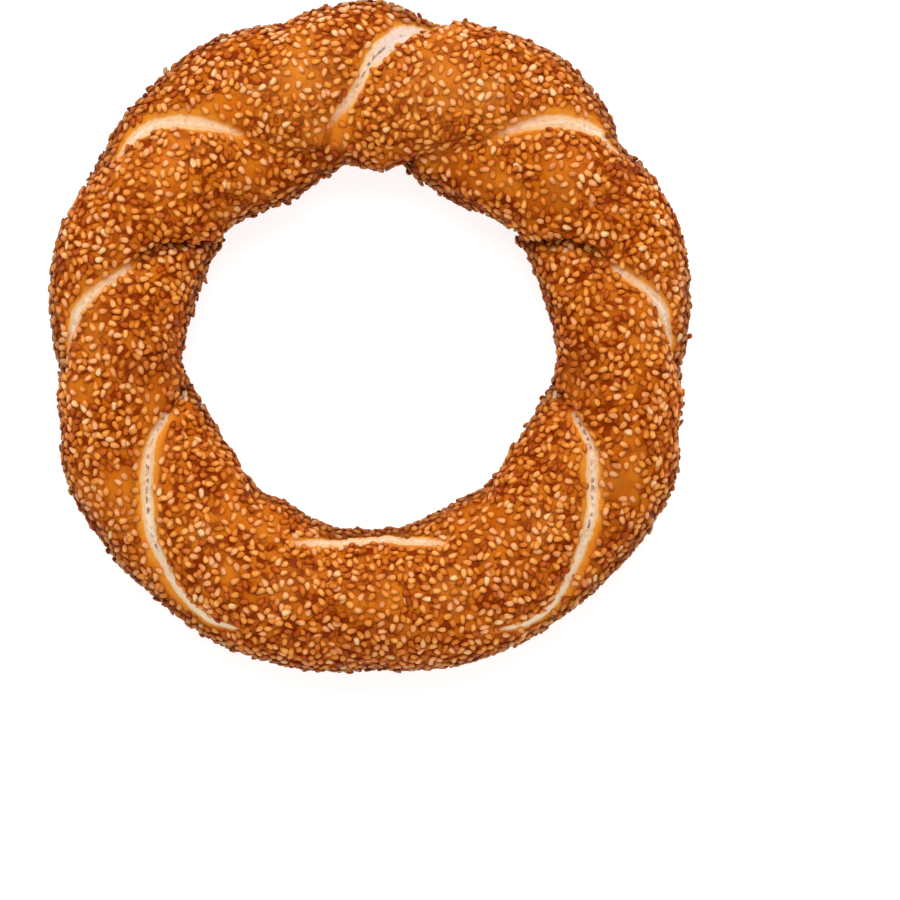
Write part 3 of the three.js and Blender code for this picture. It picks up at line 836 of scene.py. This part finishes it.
def seed_places(points, normals, quads, about):
    """Where the seeds lie, as far apart as seeds that touch, and what the crust is like there."""
    triangles = np.concatenate([quads[:, [0, 1, 2]], quads[:, [0, 2, 3]]])
    a, b, c = [points[triangles[:, k]] for k in range(3)]
    areas = np.linalg.norm(np.cross(b - a, c - a), axis=1) / 2
    chosen = rng.choice(len(triangles), SEED_TRIES, p=areas / areas.sum())
    weights = rng.dirichlet((1, 1, 1), SEED_TRIES)

    def blend(values):
        picked = values[triangles[chosen]]
        spread = weights if picked.ndim == 2 else weights[..., None]
        return (picked * spread).sum(1)

    needed = ("thin", "margin", "pale", "painted_shade", "dark", "inward", "baked")
    found = {key: blend(about[key]) for key in needed}
    thin, dark = found["thin"], found["dark"]
    # A seed takes the painted shade of the steep sides and of the crease it lies in.
    found["painted_shade"] = np.minimum(found["painted_shade"] + dark, 1)
    found["middle"] = blend(points)
    outward = blend(normals)
    outward /= np.linalg.norm(outward, axis=1, keepdims=True)
    way = rng.normal(size=(SEED_TRIES, 3))
    way -= (way * outward).sum(1, keepdims=True) * outward
    way /= np.linalg.norm(way, axis=1, keepdims=True)
    found["outward"], found["way"] = outward, way
    apart = SEED_DISTANCE * (1 + THIN_DISTANCE * thin) * rng.uniform(*DISTANCE_SPREAD, SEED_TRIES)
    beside = (found["margin"] > MOST_MARGIN) & (rng.uniform(size=SEED_TRIES) < 1 - STRAY_SEEDS)
    free = ~((found["pale"] > MOST_PALE) | beside | (dark > MOST_SHADED) | (thin > MOST_THIN))

    heads, tails = found["middle"] + SEED_REACH * way, found["middle"] - SEED_REACH * way
    kept = spaced(np.flatnonzero(free), heads, tails, apart, SEED_TRIES)
    spare = np.setdiff1d(np.flatnonzero(free & (thin < THICK_COAT)), kept)
    rng.shuffle(spare)
    loose = spaced(spare, heads, tails, np.full(SEED_TRIES, LOOSE_DISTANCE), LOOSE_SEEDS)
    every = np.concatenate([kept, loose])
    found["rise"] = np.zeros(SEED_TRIES)
    found["rise"][loose] = LOOSE_RISE
    return {key: values[every] for key, values in found.items()}


def seed_template():
    """A flat drop of unit half sizes, with its point towards +Y: points, faces and the place
    of every face corner on a unit square."""
    ring_y = np.sin(np.linspace(-1, 1, SEED_RINGS + 2) * np.pi / 2)[1:-1, None]
    turn = 2 * np.pi * np.arange(SEED_SIDES) / SEED_SIDES
    out = np.sqrt(1 - ring_y**2)
    along = np.broadcast_to(ring_y, (SEED_RINGS, SEED_SIDES))
    rings = np.stack([out * np.cos(turn), along, out * np.sin(turn)], -1)
    points = np.concatenate([rings.reshape(-1, 3), [[0, -1, 0], [0, 1, 0]]])
    points[:, 1] -= SEED_BLUNTNESS * (1 - points[:, 1] ** 2)
    faces, uvs = [], []
    bottom, top = len(points) - 2, len(points) - 1
    levels = SEED_RINGS + 1
    last = (SEED_RINGS - 1) * SEED_SIDES
    for side in range(SEED_SIDES):
        after = (side + 1) % SEED_SIDES
        u0, u1 = side / SEED_SIDES, (side + 1) / SEED_SIDES
        middle = (u0 + u1) / 2
        faces.append([bottom, side, after])
        uvs.append([[middle, 0], [u0, 1 / levels], [u1, 1 / levels]])
        for ring in range(SEED_RINGS - 1):
            low, high = ring * SEED_SIDES, (ring + 1) * SEED_SIDES
            v0, v1 = (ring + 1) / levels, (ring + 2) / levels
            faces.append([low + side, high + side, high + after, low + after])
            uvs.append([[u0, v0], [u0, v1], [u1, v1], [u1, v0]])
        faces.append([last + side, top, last + after])
        uvs.append([[u0, SEED_RINGS / levels], [middle, 1], [u1, SEED_RINGS / levels]])
    return points, faces, uvs


def seed_points(shape, places):
    """The template's points once for each seed, sized, bent, tilted and put in its place."""
    outward, way, rise = places["outward"], places["way"], places["rise"]
    count = len(rise)
    tilt = rng.normal(0, TILT_SPREAD, count)
    tilt = np.radians(tilt + np.where(rise > 0, rng.uniform(-LOOSE_TILT, LOOSE_TILT, count), 0))
    roll = np.radians(rng.normal(0, ROLL_SPREAD, count))[:, None]
    long_way = way * np.cos(tilt)[:, None] + outward * np.sin(tilt)[:, None]
    flat_up = outward - (outward * long_way).sum(1, keepdims=True) * long_way
    flat_up /= np.linalg.norm(flat_up, axis=1, keepdims=True)
    across = np.cross(long_way, flat_up)
    rolled_across = across * np.cos(roll) + flat_up * np.sin(roll)
    rolled_up = flat_up * np.cos(roll) - across * np.sin(roll)
    half_sizes = np.array([SEED_WIDTH, SEED_LENGTH, SEED_THICKNESS]) / 2
    local = shape[None] * (rng.normal(1, SIZE_SPREAD, (count, 3)) * half_sizes)[:, None, :]
    local[:, :, 2] += rng.normal(0, BEND_SPREAD, count)[:, None] * shape[None, :, 1] ** 2
    seeds = (
        local[:, :, 0, None] * rolled_across[:, None, :]
        + local[:, :, 1, None] * long_way[:, None, :]
        + local[:, :, 2, None] * rolled_up[:, None, :]
    )
    seeds += (places["middle"] + outward * (SEED_HEIGHT + rise)[:, None])[:, None, :]
    seeds[:, :, 2] += np.maximum(SEED_LOWEST - seeds[:, :, 2].min(1), 0)[:, None]
    return seeds


def seed_kinds(places):
    """Which kind each seed is."""
    count = len(places["rise"])
    kinds = rng.choice(len(SEED_KINDS), count, p=[share for _, share, *_ in SEED_KINDS])
    kinds = np.where(places["thin"] > THIN_COAT, KIND_ON_THIN_COAT[kinds], kinds)
    browner = (places["inward"] > INWARD_FROM) & (rng.uniform(size=count) < BROWNER_SHARE)
    browner = browner & np.isin(kinds, (TAN, CREAM))
    return np.where(browner, rng.choice((HONEY, AMBER), count), kinds)


def build_seeds(places):
    """One piece for each kind of seed."""
    shape, faces, uvs = seed_template()
    seeds = seed_points(shape, places)
    kinds = seed_kinds(places)
    tone = TONE_START + TONE_SPREAD * rng.uniform(size=len(seeds)) + TONE_BAKED_AND_PAINTED_LIGHT * places["baked"]
    tone = tone + TONE_PATCHES * noise_at(places["middle"], TONE_PATCH_SIZE, TONE_OFFSET)
    # A seed gets more painted shade where the crust is painted darker.
    painted_shade = np.minimum(places["painted_shade"] + SHADE_FROM_DARKER_PATCHES * np.maximum(-places["baked"], 0), 1)
    # The painted highlight, strongest on a seed's top.
    top = np.clip(shape[:, 2], 0, 1) ** SEED_HIGHLIGHT_POWER
    tip = smooth_step(*SEED_TIP, shape[:, 1])
    sizes = np.array([len(face) for face in faces])
    face_corners, face_uvs = np.concatenate(faces), np.concatenate(uvs)
    for kind, (name, _, dark, light, tip_colour) in enumerate(SEED_KINDS):
        own = np.flatnonzero(kinds == kind)
        index = np.arange(len(own))
        # Each seed has its own square of the texture.
        cells = math.ceil(math.sqrt(len(own)))
        cell = np.stack([index % cells, index // cells], 1)[:, None, :]
        placed = (cell + SEED_UV_MARGIN + (1 - 2 * SEED_UV_MARGIN) * face_uvs[None]) / cells
        corners = face_corners[None] + (index * len(shape))[:, None]
        attributes = {
            "tone": np.repeat(tone[own], len(shape)),
            "painted_shade": np.repeat(painted_shade[own], len(shape)),
            "tip": np.tile(tip, len(own)),
            "top": np.tile(top, len(own)),
        }
        material = seed_material(name, dark, light, tip_colour)
        own_points, own_sizes = seeds[own].reshape(-1, 3), np.tile(sizes, len(own))
        corners = corners.ravel()
        mesh_piece(name, own_points, corners, own_sizes, placed, attributes, material)


build_seeds(seed_places(*build_crust()))


# ---- Floor, light and camera ----
def build_floor():
    turn = 2 * np.pi * np.arange(FLOOR_SIDES) / FLOOR_SIDES
    edge = [(FLOOR_RADIUS * math.cos(t), FLOOR_RADIUS * math.sin(t), 0) for t in turn]
    mesh = bpy.data.meshes.new("floor")
    mesh.from_pydata(edge, [], [list(range(FLOOR_SIDES))])
    material = bpy.data.materials.new("floor_white")
    material.use_nodes = True
    shader = material.node_tree.nodes["Principled BSDF"]
    shader.inputs["Base Color"].default_value = (FLOOR_GREY, FLOOR_GREY, FLOOR_GREY, 1)
    shader.inputs["Emission Color"].default_value = (1, 1, 1, 1)
    shader.inputs["Emission Strength"].default_value = FLOOR_GLOW
    shader.inputs["Roughness"].default_value = FLOOR_ROUGHNESS
    mesh.materials.append(material)
    floor = bpy.data.objects.new("floor", mesh)
    bpy.context.scene.collection.objects.link(floor)


def build_lights():
    for name, place, watts in LIGHTS:
        light = bpy.data.lights.new(name, "AREA")
        light.shape = "SQUARE"
        light.size = LIGHT_SIZE
        light.energy = watts
        lamp = bpy.data.objects.new(name, light)
        lamp.location = place
        lamp.rotation_euler = (-Vector(place)).to_track_quat("-Z", "Y").to_euler()
        bpy.context.scene.collection.objects.link(lamp)
    world = bpy.data.worlds.new("studio")
    world.use_nodes = True
    world.node_tree.nodes["Background"].inputs["Color"].default_value = (1, 1, 1, 1)
    world.node_tree.nodes["Background"].inputs["Strength"].default_value = WORLD_STRENGTH
    bpy.context.scene.world = world
    bpy.context.scene.view_settings.view_transform = "Standard"


def build_camera():
    """Straight above the bread, looking down."""
    camera = bpy.data.cameras.new("camera")
    camera.sensor_width = SENSOR_WIDTH
    camera.lens = SENSOR_WIDTH * (CAMERA_HEIGHT - LEVEL_SEEN) / VIEW_WIDTH
    camera.dof.use_dof = False
    seen_from = bpy.data.objects.new("camera", camera)
    seen_from.location = (*VIEW_MIDDLE, CAMERA_HEIGHT)
    bpy.context.scene.collection.objects.link(seen_from)
    bpy.context.scene.camera = seen_from


build_floor()
build_lights()
build_camera()
